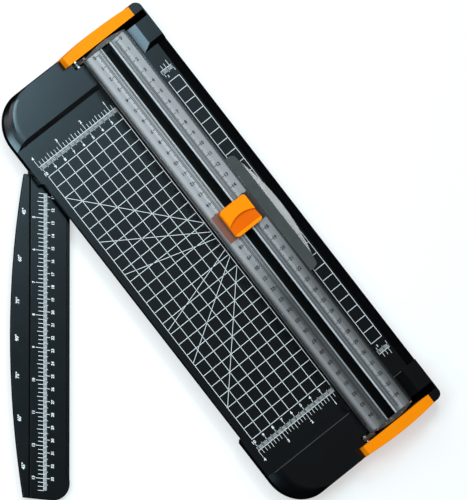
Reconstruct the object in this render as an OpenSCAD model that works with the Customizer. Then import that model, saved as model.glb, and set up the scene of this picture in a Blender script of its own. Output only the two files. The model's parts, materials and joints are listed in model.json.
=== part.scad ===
// Paper cutter: a blade carriage slides in a clear rail over a printed deck, and a side ruler
// swings out from under the deck. Millimetres. +Y runs along the cutting line to the far end,
// +X to the right, +Z up. The origin is on the table, under the middle of the cutting line.

/* [Base] */
// Length of the base along the cutting line
base_len = 378.6; // [360:0.2:450]
// Distance from the cutting line to the left rim
base_left = 108.8; // [100:0.2:140]
// Distance from the cutting line to the right rim
base_right = 52; // [48:0.5:70]
// Radius of the two big left corners
left_corner_r = 30; // [16:1:40]
// Radius of the two right corners
right_corner_r = 5.5; // [5:0.5:8]
// Height of the printed deck over the table
deck_z = 15; // [15:0.1:20]
// Height of the deck over the widest line of the base
deck_rise = 4; // [3.5:0.1:4.5]
// Thickness of the deck
deck_t = 2.5; // [2:0.1:2.8]
// Width of the deck's slope on the left
deck_slope_left = 0.4; // [0.2:0.1:2]
// Width of the deck's slope on the right
deck_slope_right = 10.3; // [6:0.1:11]
// Thickness of the skirt
skirt_t = 2.2; // [1.8:0.1:3]
// How far the skirt is drawn in at the table
skirt_in = 4.8; // [2:0.1:6]
// Gap between the skirt and the table
skirt_gap = 1.5; // [1:0.1:2]
// Half of the distance between the two paper fences
fence_y = 156; // [140:1:158]
// How far both paper fences are shifted towards the top end
fence_shift = 1.5; // [0:0.1:2]
// Width of the top fence, which is a slope
fence_slope = 4; // [2:0.1:5]
// Height of the paper fences over the deck
fence_h = 4; // [3:0.1:4.4]
// Width of the part of a raised end that rounds off to the left
zone_slope_left = 12; // [6:0.5:20]
// Width of the slope on the right of a raised end
zone_slope_right = 3.5; // [2:0.1:6]
// How far the deck is drawn in at the two ends of the base
end_slope = 0.6; // [0.4:0.1:2]
// Depth of the recess in the left edge
recess_depth = 2.55; // [1:0.05:4]

/* [Rail] */
// Width of the clear rail
rail_w = 42; // [40:0.5:46]
// Height of the rail's top over the deck
rail_h = 11.5; // [11.2:0.1:13]
// Thickness of the rail's top
rail_top_t = 2; // [1.6:0.1:2.2]
// Height of the rail's overhanging edge
rail_edge_h = 1.9; // [1.5:0.1:2.4]
// Thickness of the rail's side walls
rail_wall_t = 1.4; // [1.2:0.1:1.8]
// How far each side wall leans in towards the deck
rail_lean = 2.7; // [1:0.1:3]
// Width of the slot that the cutter slides in
slot_w = 9.2; // [8.8:0.1:10]
// Distance from the end of the rail's profile to the end of the cutting strip
strip_end = 5.5; // [5:0.1:12]
// Height of the rail's feet over the deck
rail_foot_gap = 0.9; // [0.8:0.1:1.2]
// Width of the ledges that carry the carriage
ledge_w = 2.2; // [1.4:0.1:3]
// Thickness of the ledges
ledge_t = 1; // [0.8:0.1:1.4]
// Distance of the hinge line from the rail's edge
hinge_out = 3; // [2.5:0.1:4]
// Height of the hinge line over the deck
hinge_rise = 1; // [0.6:0.1:1.2]
// Radius of the hinge pins
pin_r = 1.5; // [1:0.1:1.6]
// Reach of the lift tab past the rail
tab_reach = 15.3; // [13:0.1:17]
// Half length of the lift tab
tab_half = 53; // [40:1:80]

/* [Cutter] */
// Length of the carriage
carriage_len = 24.5; // [23:0.1:36]
// Place of the carriage along the rail in the photographed pose
carriage_y = 12.65; // [-120:0.05:120]
// Width of the orange cap
cap_w = 26.7; // [22:0.1:34]
// Length of the orange cap
cap_len = 24.1; // [22:0.1:30]
// Thickness of the orange cap
cap_t = 3; // [2.8:0.1:5]
// How far the cap can be pressed
press_travel = 1.8; // [1.2:0.1:2]
// Length of the blade
blade_len = 14; // [10:0.5:15]
// Thickness of the blade
blade_t = 0.5; // [0.3:0.05:0.8]

/* [Side ruler] */
// Length of the ruler from the pivot to its far end
ruler_reach = 257.2; // [220:1:270]
// Width of the ruler's body
ruler_w = 33.4; // [30:0.1:36]
// Thickness of the ruler
ruler_t = 2.6; // [2:0.1:3]
// Gap between the ruler's top and the underside of the deck
ruler_drop = 2.5; // [2:0.1:3]
// Distance from the pivot to the ruler's right edge
ruler_side = 10.7; // [9.5:0.1:13]
// Width of the curved flange at its ends
flange_end_w = 3.7; // [2:0.1:6]
// How far the flange bulges in its middle
flange_bulge = 10.5; // [6:0.1:16]
// Radius of the ruler's far corner
ruler_corner_r = 14; // [4:1:20]
// Distance of the pivot from the left rim
pivot_in = 20; // [18:0.1:22]
// Distance of the pivot from the top fence
pivot_from_fence = 33; // [28:0.5:40]
// Angle by which the ruler is swung out in the photographed pose
ruler_rest_deg = 41.1; // [0:0.1:90]

/* [Hidden] */

// Shared allowances
fit = 0.05;    // running fit of a pin in a bore, on the radius
held = 0.02;   // fit of a pin that stays put, on the radius
play = 0.15;   // gap round a piece that is set into another
near = 0.3;    // gap between faces that only come close
glide = 0.35;  // gap round the carriage in the rail
over = 3;      // overrun of a cut
thin = 0.02;   // thickness of the discs that a blend runs between
round_fn = 64;
blend_fn = 32;
wide_fn = 360;

// Levels of the base
half_len = base_len / 2;
rim_z = deck_z - deck_rise;
under_z = deck_z - deck_t;
zone_z = deck_z + fence_h;
zone_under_z = zone_z - deck_t;
zone_round_steps = 3;
fence_top_y = fence_y + fence_shift;
fence_bottom_y = fence_y - fence_shift;
least_r = 1;

// Rail section
rail_z = deck_z + rail_h;
rail_low_z = deck_z + rail_foot_gap;
rail_wall_z = rail_z - rail_edge_h;
rail_in_z = rail_z - rail_top_t;
lean_per_mm = rail_lean / (rail_wall_z - rail_low_z);
bead_w = 1;
bead_h = 0.3;
pressing_w = 3;
arm_t = 3.1;
eye_r = pin_r + 1.5;
arm_in = 2;
hinge_x = rail_w / 2 + hinge_out;
hinge_z = deck_z + hinge_rise;

// Lengths along the rail
end_cap_depth = 8;
end_cap_near = half_len - end_cap_depth;
end_cap_in = 0.4;
end_cap_far = half_len - end_cap_in;
rail_end_t = 3.8;
rail_end_bulge = 3;
rail_half = end_cap_near - rail_end_t - 2 * glide;

// Channel, ribs and blocks of the base
channel_gap = 0.8;
channel_left = rail_w / 2 - channel_gap + play;
channel_right = rail_w / 2 + 7;
block_slope = 6.4;
rib_t = 1.6;
rib_low_z = skirt_gap + 2.5;
cross_rib_low_z = under_z - 5.5;
cross_rib_count = 8;
pin_hold = 7.5;
end_block_room = 4;
end_block_y = rail_half - pin_hold - end_block_room;
end_block_left = hinge_x + 21;

// Transverse slots, notches and end caps
cross_slot_near = rail_half - 4 * glide;
cross_slot_left = hinge_x + eye_r + 2;
cross_slot_right = base_right - 4.5;
cross_slot_z = deck_z - 5;
cross_slot_fall = 2.8;
end_cap_side = 14;
end_cap_w = rail_w + 2 * end_cap_side;
end_cap_bulge = 1.9;
end_cap_wall = 2;
notch_z = skirt_gap + 3.5;
boss_wall = 1.4;
pin_near = rail_half - pin_hold;
pin_far = end_cap_near + 5.5;
pin_boss_r = pin_r + 1.9;
cap_screw_in = 8;
cap_screw_x = end_cap_w / 2 - cap_screw_in;
cap_screw_y = (end_cap_near + end_cap_far) / 2;
cap_screw_r = 1.25;
cap_screw_len = 9;
cap_screw_boss_r = cap_screw_r + 1.65;
cap_screw_boss_h = 14;
screw_head_r = 2.3;
screw_head_h = 1.4;
recess_mouth = 0.4;
driver_w = 0.7;
driver_depth = 0.6;

// Cutting strip
strip_w = 14;
strip_half = rail_half - strip_end;
strip_t = 2.2;
strip_floor_t = 2;
strip_floor_w = strip_w + 4;
groove_w = blade_t + 0.7;
groove_depth = 1.4;
groove_end = 1.2;
groove_half = strip_half - groove_end;

// Feet
foot_r = 7;
foot_z = skirt_gap + 0.9;
foot_boss_r = foot_r + 1.8;
foot_chamfer = 0.6;
foot_in_left = 28.8;
foot_in_right = 18;
foot_in_end = 17;
foot_places = [
  [0, 0],
  [-base_left + foot_in_left, half_len - foot_in_end],
  [-base_left + foot_in_left, -half_len + foot_in_end],
  [base_right - foot_in_right, half_len - foot_in_end],
  [base_right - foot_in_right, -half_len + foot_in_end]
];

// Lift tab
tab_t = 1.6;
tab_crease = 11;
tab_drop = 4;
tab_step = 0.2;
tab_corner_r = 12;
tab_arc_in = 5;
tab_arc_half = tab_half - tab_arc_in;
tab_arc_rise = 4.8;
tab_top_z = rail_z - tab_step;

// Carriage and cutting unit, drawn with the carriage's middle at y = 0
keel_w = 16;
keel_z = rail_low_z;
carriage_low_z = rail_low_z + ledge_t + glide;
carriage_top_z = rail_in_z - glide;
neck_w = slot_w - 2 * glide;
neck_len = carriage_len - 2.5;
neck_top_z = rail_z + bead_h;
hub_w = 5.8;
hub_len = 11.2;
guard_t = 1;
chamber_w = 7;
chamber_len = blade_len + 4.2;
holder_w = 5.6;
holder_len = blade_len + 2;
holder_h = 3.1;
holder_low_z = keel_z + guard_t + press_travel + play;
holder_top_z = holder_low_z + holder_h;
chamber_z = holder_top_z + near;
slit_w = blade_t + 0.7;
cap_low_z = rail_z + bead_h + press_travel + play;
cap_z = cap_low_z + cap_t;
cap_corner_r = 2.5;
scoop_depth = 1.9;
scoop_back_y = 0.6;
scoop_front_y = scoop_back_y - 10;
scoop_r = 26;
blade_h = 2.5;
blade_top_z = holder_low_z + blade_h;
blade_tip_up = 0.25;
blade_tip_z = keel_z + blade_tip_up;
blade_screw_z = holder_low_z + blade_h - 1.1;
blade_screw_r = 0.8;
blade_screw_head_r = 1.2;
blade_screw_head_t = 0.5;
spring_y = hub_len / 2 + 2.6;
spring_well_r = 1.9;
spring_well_z = chamber_z + 1.2;
spring_wire_r = 0.28;
spring_r = spring_well_r - spring_wire_r - near;
spring_turns = 4;
spring_rings = 8;
spring_sides = 6;

// Side ruler, drawn as it lies when stowed, with its pivot at the origin
pivot_x = base_left - pivot_in;
pivot_y = fence_top_y - pivot_from_fence;
ruler_z = under_z - ruler_drop;
ruler_low_z = ruler_z - ruler_t;
ruler_body_left = ruler_w - ruler_side;
ruler_near_r = 8;
groove_line_w = 1.2;
groove_line_x = ruler_body_left - groove_line_w / 3;
groove_line_depth = 0.8;
edge_step_w = 2.8;
edge_step_depth = 0.6;
flange_start = 4.9;
flange_chord = ruler_reach - flange_start;
flange_steps = 40;
corner_steps = 12;
flange_r = (pow(flange_chord / 2, 2) + pow(flange_bulge, 2)) / (2 * flange_bulge);
stow_gap = 1.5;
rib_x = -pivot_x + ruler_side + stow_gap;
recess_top_y = pivot_y - 2.5;
recess_bottom_y = pivot_y - ruler_reach + 13.7;
mouth_end = 5;
mouth_top_y = pivot_y + ruler_body_left + flange_end_w + mouth_end;
mouth_bottom_y = pivot_y - ruler_reach - mouth_end / 2;
mouth_z = ruler_z + glide;
mouth_depth = skirt_in + skirt_t + 2;
pivot_boss_r = 8;
friction_t = 0.24;
pivot_boss_z = ruler_z + friction_t + fit;
bush_r = 3;
bush_hole_r = 1.6;
ruler_hole_r = bush_r + 2 * fit;
washer_r = 7;
washer_t = 1;
bush_low_z = ruler_low_z - near;
washer_low_z = bush_low_z - washer_t;
pivot_screw_r = 1.5;
pivot_screw_top_z = deck_z - 1;
pivot_head_r = 2.8;
pivot_head_h = 1.9;

// A block between two corners
module block(low, high) {
  translate(low) cube(high - low);
}

// The same thing at the top end and at the bottom end
module both_ends() {
  children();
  mirror([0, 1, 0]) children();
}

// A section drawn in X and Z, carried along Y between two places
module along_y(points, y0, y1) {
  translate([0, y1, 0]) rotate([90, 0, 0]) linear_extrude(height = y1 - y0) polygon(points);
}

// A section drawn in Y and Z, carried along X between two places
module along_x(points, x0, x1) {
  translate([x0, 0, 0]) rotate([90, 0, 90]) linear_extrude(height = x1 - x0) polygon(points);
}

// A rod along Y
module rod_y(x, z, r, y0, y1) {
  translate([x, y0, z]) rotate([-90, 0, 0]) cylinder(h = y1 - y0, r = r, $fn = round_fn);
}

// A plate with four equal round corners, from flat and round pieces
module round_plate(w, l, r, h) {
  translate([-w / 2 + r, -l / 2, 0]) cube([w - 2 * r, l, h]);
  translate([-w / 2, -l / 2 + r, 0]) cube([w, l - 2 * r, h]);
  for (sx = [-1, 1], sy = [-1, 1])
    translate([sx * (w / 2 - r), sy * (l / 2 - r), 0]) cylinder(h = h, r = r, $fn = round_fn);
}

// Four corner discs of the base's outline, drawn in on the left, on the right and at the ends
module outline_discs(z, left_in, right_in, end_in) {
  big_r = left_corner_r - end_in;
  small_r = max(right_corner_r - end_in, least_r);
  y_big = half_len - end_in - big_r;
  y_small = half_len - end_in - small_r;
  for (s = [-1, 1]) {
    translate([-base_left + left_in + big_r, s * y_big, z])
      cylinder(h = thin, r = big_r, $fn = 2 * blend_fn);
    translate([base_right - right_in - small_r, s * y_small, z])
      cylinder(h = thin, r = small_r, $fn = blend_fn);
  }
}

// Outside of the base: skirt, deck and the two raised ends
module base_outer() {
  hull() {
    outline_discs(skirt_gap, skirt_in, skirt_in, skirt_in);
    outline_discs(rim_z - thin, 0, 0, 0);
  }
  hull() {
    outline_discs(rim_z - 2 * thin, 0, 0, 0);
    outline_discs(deck_z - thin, deck_slope_left, deck_slope_right, end_slope);
  }
  intersection() {
    hull() {
      outline_discs(rim_z - 2 * thin, 0, 0, 0);
      for (i = [0 : zone_round_steps]) {
        share = i / zone_round_steps;
        outline_discs(deck_z + fence_h * share * (2 - share) - thin,
          deck_slope_left + (zone_slope_left - deck_slope_left) * share, zone_slope_right, end_slope);
      }
    }
    fenced_ends();
  }
}

// Where the raised ends stand: the top fence is a slope and the bottom fence is a wall
module fenced_ends() {
  along_x([
    [fence_top_y - fence_slope, skirt_gap], [fence_top_y - fence_slope, deck_z],
    [fence_top_y, zone_z], [fence_top_y, zone_z + over],
    [half_len + over, zone_z + over], [half_len + over, skirt_gap]
  ], -base_left - over, base_right + over);
  block([-base_left - over, -half_len - over, skirt_gap],
    [base_right + over, -fence_bottom_y, zone_z + over]);
}

// Hollow of the base, under the deck and under the left part of each raised end
module base_hollow() {
  up_share = (under_z - rim_z) / (deck_z - rim_z);
  zone_share = (zone_under_z - rim_z) / (zone_z - rim_z);
  hull() {
    outline_discs(skirt_gap - over, skirt_in + skirt_t, skirt_in + skirt_t, skirt_in + skirt_t);
    outline_discs(rim_z - thin, skirt_t, skirt_t, skirt_t);
    outline_discs(under_z - thin, skirt_t + up_share * deck_slope_left,
      skirt_t + up_share * deck_slope_right, skirt_t + up_share * end_slope);
  }
  intersection() {
    hull() {
      outline_discs(rim_z - 2 * thin, skirt_t, skirt_t, skirt_t);
      outline_discs(zone_under_z - thin, skirt_t + zone_share * zone_slope_left,
        skirt_t + zone_share * zone_slope_right, skirt_t + zone_share * end_slope);
    }
    both_ends() block([-base_left - over, fence_y + deck_t, rim_z - over],
      [-end_block_left - rib_t, half_len + over, zone_z]);
  }
}

// What stays solid inside the hollow: ribs, end blocks, the strip's floor and the bosses
module base_fillers() {
  top = zone_z;
  block([rib_x, -half_len, rib_low_z], [rib_x + rib_t, half_len, top]);
  rib_step = 2 * fence_y / (cross_rib_count + 1);
  for (i = [1 : cross_rib_count])
    translate([0, -fence_y + i * rib_step - rib_t / 2, 0])
      block([rib_x, 0, cross_rib_low_z], [base_right, rib_t, under_z + thin]);
  both_ends() block([-end_block_left, end_block_y, skirt_gap - over], [base_right, half_len, top]);
  block([-strip_floor_w / 2, -half_len, under_z - strip_floor_t], [strip_floor_w / 2, half_len, top]);
  for (p = foot_places)
    translate([p[0], p[1], skirt_gap]) cylinder(h = top, r = foot_boss_r, $fn = round_fn);
  translate([-pivot_x, pivot_y, pivot_boss_z]) cylinder(h = top, r = pivot_boss_r, $fn = round_fn);
}

// Channel that the rail lies in between the raised ends and the right-hand blocks
module rail_channel() {
  both_ends() translate([0, half_len + over, 0]) rotate([90, 0, 0])
    linear_extrude(height = half_len + over - fence_y + over)
      polygon([
        [-channel_left, deck_z], [channel_right, deck_z],
        [channel_right + block_slope, zone_z + thin], [channel_right + block_slope, zone_z + over],
        [-channel_left, zone_z + over]
      ]);
}

// Mouth in the left skirt that the side ruler swings out of, and the recess in the deck's edge
module ruler_mouth() {
  block([-base_left - over, mouth_bottom_y, skirt_gap - over],
    [-base_left + mouth_depth, mouth_top_y, mouth_z]);
  translate([0, 0, skirt_gap - over]) linear_extrude(height = zone_z + over)
    polygon([
      [-base_left - over, recess_bottom_y - recess_depth - over],
      [-base_left + recess_depth, recess_bottom_y],
      [-base_left + recess_depth, recess_top_y],
      [-base_left - over, recess_top_y + recess_depth + over]
    ]);
}

module base_shell() {
  color([0.12, 0.14, 0.16]) difference() {
    base_outer();
    difference() {
      base_hollow();
      base_fillers();
    }
    rail_channel();
    ruler_mouth();
    both_ends() {
      along_x([
        [cross_slot_near, cross_slot_z - cross_slot_fall], [end_cap_near - play, cross_slot_z],
        [end_cap_near - play, zone_z + over], [cross_slot_near, zone_z + over]
      ], -cross_slot_left, cross_slot_right);
      block([-end_cap_w / 2 - play, end_cap_near - 2 * play, notch_z],
        [end_cap_w / 2 + play, half_len + over, zone_z + over]);
      rod_y(-hinge_x, hinge_z, pin_r + held, pin_near, end_cap_near);
      for (s = [-1, 1]) translate([s * cap_screw_x, cap_screw_y, 0]) {
        translate([0, 0, skirt_gap - over])
          cylinder(h = notch_z + over, r = cap_screw_r + play, $fn = round_fn);
        translate([0, 0, skirt_gap - over])
          cylinder(h = screw_head_h + recess_mouth + over, r = screw_head_r + play, $fn = round_fn);
      }
    }
    block([-strip_w / 2 - play, -strip_half - play, deck_z - strip_t - play],
      [strip_w / 2 + play, strip_half + play, deck_z + over]);
    for (p = foot_places)
      translate([p[0], p[1], skirt_gap - over])
        cylinder(h = foot_z - skirt_gap + play + over, r = foot_r + play, $fn = round_fn);
    translate([-pivot_x, pivot_y, washer_low_z])
      cylinder(h = pivot_screw_top_z + play - washer_low_z, r = pivot_screw_r + held, $fn = round_fn);
  }
}

module cutting_strip() {
  color([0.06, 0.07, 0.08]) difference() {
    block([-strip_w / 2, -strip_half, deck_z - strip_t], [strip_w / 2, strip_half, deck_z]);
    block([-groove_w / 2, -groove_half, deck_z - groove_depth],
      [groove_w / 2, groove_half, deck_z + over]);
  }
}

// Orange bearing cap at the top end
module end_cap() {
  bow_r = (pow(end_cap_w / 2, 2) + pow(end_cap_bulge, 2)) / (2 * end_cap_bulge);
  low_z = notch_z + play;
  color([1, 0.58, 0.05]) difference() {
    intersection() {
      block([-end_cap_w / 2, end_cap_near, low_z],
        [end_cap_w / 2, end_cap_far + end_cap_bulge + over, rail_z]);
      translate([0, end_cap_far + end_cap_bulge - bow_r, low_z])
        cylinder(h = rail_z - low_z, r = bow_r, $fn = wide_fn);
    }
    difference() {
      block([-end_cap_w / 2 + end_cap_wall, end_cap_near + end_cap_wall, low_z - over],
        [end_cap_w / 2 - end_cap_wall, end_cap_far - end_cap_wall, rail_z - end_cap_wall]);
      rod_y(-hinge_x, hinge_z, pin_boss_r, end_cap_near, end_cap_far);
      for (s = [-1, 1]) translate([s * cap_screw_x, cap_screw_y, low_z])
        cylinder(h = cap_screw_boss_h, r = cap_screw_boss_r, $fn = round_fn);
    }
    rod_y(-hinge_x, hinge_z, pin_r + held, end_cap_near - over, pin_far + play);
    for (s = [-1, 1]) translate([s * cap_screw_x, cap_screw_y, low_z - over])
      cylinder(h = over + cap_screw_len - boss_wall, r = cap_screw_r + held, $fn = round_fn);
  }
}
module end_cap_top() { end_cap(); }
module end_cap_bottom() { mirror([0, 1, 0]) end_cap(); }

module cap_screws() {
  head_z = skirt_gap + recess_mouth;
  color([0.7, 0.7, 0.72]) both_ends() for (s = [-1, 1]) translate([s * cap_screw_x, cap_screw_y, head_z])
    difference() {
      union() {
        cylinder(h = screw_head_h - play, r = screw_head_r, $fn = round_fn);
        cylinder(h = cap_screw_len, r = cap_screw_r, $fn = round_fn);
      }
      for (a = [0, 90]) rotate([0, 0, a])
        block([-screw_head_r, -driver_w / 2, -over], [screw_head_r, driver_w / 2, driver_depth]);
    }
}

module hinge_pin() {
  color([0.72, 0.72, 0.74]) rod_y(-hinge_x, hinge_z, pin_r, pin_near + play, pin_far);
}
module hinge_pin_top() { hinge_pin(); }
module hinge_pin_bottom() { mirror([0, 1, 0]) hinge_pin(); }

module rubber_feet() {
  color([0.1, 0.1, 0.1]) for (p = foot_places) translate([p[0], p[1], 0]) {
    cylinder(h = foot_chamfer, r1 = foot_r - foot_chamfer, r2 = foot_r, $fn = round_fn);
    translate([0, 0, foot_chamfer]) cylinder(h = foot_z - foot_chamfer, r = foot_r, $fn = round_fn);
  }
}

// Right half of the rail's section, as points in X and Z
function wall_x(z) = rail_w / 2 - (rail_wall_z - z) * lean_per_mm;
function rail_half_section(side) = [
  [side * slot_w / 2, rail_in_z], [side * slot_w / 2, rail_z + bead_h],
  [side * (slot_w / 2 + bead_w), rail_z + bead_h], [side * (slot_w / 2 + bead_w), rail_z],
  [side * rail_w / 2, rail_z], [side * rail_w / 2, rail_wall_z],
  [side * wall_x(rail_low_z), rail_low_z],
  [side * (wall_x(rail_low_z) - rail_wall_t - ledge_w), rail_low_z],
  [side * (wall_x(rail_low_z) - rail_wall_t - ledge_w), rail_low_z + ledge_t],
  [side * (wall_x(rail_low_z + ledge_t) - rail_wall_t), rail_low_z + ledge_t],
  [side * (wall_x(rail_in_z) - rail_wall_t), rail_in_z]
];

// The rail is two clear profiles with the slot between them, and the moulded ends join them
module rail_profile(side) {
  color([0.75, 0.8, 0.83, 0.5]) along_y(rail_half_section(side), -rail_half, rail_half);
}
module clear_rail_left() { rail_profile(-1); }
module clear_rail_right() { rail_profile(1); }

// Clear moulded end of the rail, with the eye that turns on the hinge pin
module rail_end() {
  bow_r = (pow(rail_w / 2, 2) + pow(rail_end_bulge, 2)) / (2 * rail_end_bulge);
  color([0.75, 0.8, 0.83, 0.5]) difference() {
    union() {
      intersection() {
        along_y([
          [-rail_w / 2, rail_z], [rail_w / 2, rail_z], [rail_w / 2, rail_wall_z],
          [wall_x(rail_low_z), rail_low_z], [-wall_x(rail_low_z), rail_low_z], [-rail_w / 2, rail_wall_z]
        ], rail_half, rail_half + rail_end_t);
        translate([0, rail_half + rail_end_t - bow_r, rail_low_z])
          cylinder(h = rail_z - rail_low_z, r = bow_r, $fn = wide_fn);
      }
      rod_y(-hinge_x, hinge_z, eye_r, rail_half, rail_half + arm_t);
      along_y([
        [-hinge_x, hinge_z - eye_r], [-rail_w / 2 + arm_in, rail_low_z],
        [-rail_w / 2 + arm_in, rail_wall_z],
        [-rail_w / 2, rail_wall_z], [-hinge_x - eye_r, hinge_z], [-hinge_x, hinge_z]
      ], rail_half, rail_half + arm_t);
    }
    rod_y(-hinge_x, hinge_z, pin_r + fit, rail_half - over, rail_half + rail_end_t + over);
  }
}
module rail_end_top() { rail_end(); }
module rail_end_bottom() { mirror([0, 1, 0]) rail_end(); }

// Clear crescent: a band that falls from the rail to a crease, then a lip that rises again
module lift_tab() {
  x0 = rail_w / 2;
  arc_r = (pow(tab_arc_half, 2) + pow(tab_arc_rise, 2)) / (2 * tab_arc_rise);
  color([0.75, 0.8, 0.83, 0.5]) intersection() {
    along_y([
      [x0, tab_top_z], [x0 + tab_crease, tab_top_z - tab_drop],
      [x0 + tab_reach, tab_top_z], [x0 + tab_reach, tab_top_z - tab_t],
      [x0 + tab_crease, tab_top_z - tab_drop - tab_t], [x0, tab_top_z - tab_t]
    ], -tab_half, tab_half);
    translate([x0 + tab_reach / 2 - tab_corner_r / 2, 0, 0])
      round_plate(tab_reach + tab_corner_r, 2 * tab_half, tab_corner_r, rail_z + over);
    translate([x0 + tab_reach - arc_r, 0, 0]) cylinder(h = rail_z + over, r = arc_r, $fn = wide_fn);
  }
}

module pressing_strip(side) {
  x1 = wall_x(rail_low_z) - pressing_w / 4;
  low = side > 0 ? x1 - pressing_w : -x1;
  color([0.2, 0.2, 0.21])
    block([low, -strip_half, deck_z + near], [low + pressing_w, strip_half, rail_low_z]);
}
module pressing_strip_left() { pressing_strip(-1); }
module pressing_strip_right() { pressing_strip(1); }

// Everything of the cutter is drawn with its middle at y = 0 and then moved to its place
module at_carriage() {
  translate([0, carriage_y, 0]) children();
}

module carriage() {
  low_x = wall_x(carriage_low_z) - rail_wall_t - glide;
  top_x = wall_x(carriage_top_z) - rail_wall_t - glide;
  half = carriage_len / 2;
  color([1, 0.55, 0.05]) at_carriage() difference() {
    union() {
      along_y([[-top_x, carriage_top_z], [top_x, carriage_top_z], [low_x, carriage_low_z],
        [-low_x, carriage_low_z]], -half, half);
      block([-keel_w / 2, -half, keel_z], [keel_w / 2, half, carriage_low_z + thin]);
      block([-neck_w / 2, -neck_len / 2, carriage_top_z - thin], [neck_w / 2, neck_len / 2, neck_top_z]);
    }
    block([-chamber_w / 2, -chamber_len / 2, keel_z - over], [chamber_w / 2, chamber_len / 2, chamber_z]);
    block([-hub_w / 2 - play, -hub_len / 2 - play, chamber_z - over],
      [hub_w / 2 + play, hub_len / 2 + play, neck_top_z + over]);
    for (s = [-1, 1]) translate([0, s * spring_y, spring_well_z])
      cylinder(h = neck_top_z + over - spring_well_z, r = spring_well_r, $fn = round_fn);
  }
}

// Plate that closes the blade's chamber from below, with a slit for the blade
module blade_guard() {
  color([0.1, 0.1, 0.1]) at_carriage() difference() {
    block([-chamber_w / 2 + play, -chamber_len / 2 + play, keel_z],
      [chamber_w / 2 - play, chamber_len / 2 - play, keel_z + guard_t]);
    block([-slit_w / 2, -blade_len / 2 - play, keel_z - over],
      [slit_w / 2, blade_len / 2 + play, keel_z + guard_t + over]);
  }
}

// Helical spring: rings of the wire along the helix, joined by triangles and closed at the ends
function helix_at(t, low, high) = [
  spring_r * cos(360 * spring_turns * t), spring_r * sin(360 * spring_turns * t), low + (high - low) * t
];
function wire_point(t, a, low, high) = helix_at(t, low, high) + spring_wire_r * [
  cos(a) * cos(360 * spring_turns * t), cos(a) * sin(360 * spring_turns * t), sin(a)
];
module spring(low, high) {
  rings = spring_turns * spring_rings;
  n = spring_sides;
  points = [for (i = [0 : rings], k = [0 : n - 1])
    wire_point(i / rings, 360 * k / n, low + spring_wire_r, high - spring_wire_r)];
  walls = [for (i = [0 : rings - 1], k = [0 : n - 1], half = [0, 1])
    let (a = i * n + k, b = i * n + (k + 1) % n)
    half == 0 ? [a, b, b + n] : [a, b + n, a + n]];
  start = [for (k = [1 : n - 2]) [0, k + 1, k]];
  end = [for (k = [1 : n - 2]) [rings * n, rings * n + k, rings * n + k + 1]];
  polyhedron(points = points, faces = concat(walls, start, end));
}
module cap_springs() {
  color([0.75, 0.75, 0.77]) at_carriage() for (s = [-1, 1]) translate([0, s * spring_y, 0])
    spring(spring_well_z, cap_low_z - fit);
}

// Orange cap with a thumb scoop, and the hub that reaches down through the carriage's neck
module slider_cap() {
  color([1, 0.63, 0.08]) at_carriage() {
    difference() {
      translate([0, 0, cap_low_z]) round_plate(cap_w, cap_len, cap_corner_r, cap_t);
      intersection() {
        along_x([
          [scoop_front_y, cap_z + thin], [scoop_back_y, cap_z - scoop_depth],
          [scoop_back_y + scoop_depth, cap_z - scoop_depth], [scoop_back_y + scoop_depth, cap_z + over],
          [scoop_front_y, cap_z + over]
        ], -cap_w, cap_w);
        translate([0, scoop_back_y + scoop_depth / 2 - scoop_r, cap_low_z])
          cylinder(h = cap_t + over, r = scoop_r, $fn = wide_fn / 2);
      }
    }
    block([-hub_w / 2, -hub_len / 2, holder_top_z], [hub_w / 2, hub_len / 2, cap_low_z + thin]);
  }
}

module blade_holder() {
  color([0.15, 0.15, 0.16]) at_carriage() difference() {
    block([-holder_w / 2, -holder_len / 2, holder_low_z], [holder_w / 2, holder_len / 2, holder_top_z]);
    block([-blade_t / 2 - held, -blade_len / 2 - play, holder_low_z - over],
      [blade_t / 2 + held, blade_len / 2 + play, blade_top_z + held]);
    translate([-holder_w, 0, blade_screw_z]) rotate([0, 90, 0])
      cylinder(h = 2 * holder_w, r = blade_screw_r + held, $fn = round_fn);
  }
}

module cutter_blade() {
  color([0.8, 0.81, 0.83]) at_carriage() difference() {
    translate([-blade_t / 2, 0, 0]) rotate([90, 0, 90]) linear_extrude(height = blade_t)
      polygon([
        [-blade_len / 2, blade_top_z], [-blade_len / 2, holder_low_z], [0, blade_tip_z],
        [blade_len / 2, holder_low_z], [blade_len / 2, blade_top_z]
      ]);
    translate([-blade_t, 0, blade_screw_z]) rotate([0, 90, 0])
      cylinder(h = 2 * blade_t, r = blade_screw_r + held, $fn = round_fn);
  }
}

module blade_screw() {
  color([0.7, 0.7, 0.72]) at_carriage() translate([0, 0, blade_screw_z]) rotate([0, 90, 0]) {
    translate([0, 0, -holder_w / 2]) cylinder(h = holder_w, r = blade_screw_r, $fn = round_fn);
    translate([0, 0, holder_w / 2])
      cylinder(h = blade_screw_head_t, r = blade_screw_head_r, $fn = round_fn);
  }
}

// Points of an arc round a centre, from one angle to another
function arc_points(centre, r, from_deg, to_deg, steps) = [for (i = [0 : steps])
  let (a = from_deg + (to_deg - from_deg) * i / steps) centre + r * [cos(a), sin(a)]];

// Outline of the ruler: the round near end, the bowed flange on the left and the round far corner
module ruler_outline() {
  flange_middle = -(flange_start + ruler_reach) / 2;
  flange_edge = -ruler_body_left - flange_end_w - flange_bulge;
  half_deg = asin(flange_chord / 2 / flange_r);
  polygon(concat(
    arc_points([0, 0], ruler_side, 0, 90, corner_steps),
    arc_points([-ruler_body_left + ruler_near_r, ruler_side - ruler_near_r], ruler_near_r, 90, 180,
      corner_steps),
    [[-ruler_body_left, -flange_start]],
    arc_points([flange_edge + flange_r, flange_middle], flange_r, 180 - half_deg, 180 + half_deg,
      flange_steps),
    arc_points([ruler_side - ruler_corner_r, -ruler_reach + ruler_corner_r], ruler_corner_r, -90, 0,
      corner_steps)
  ));
}

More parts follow.
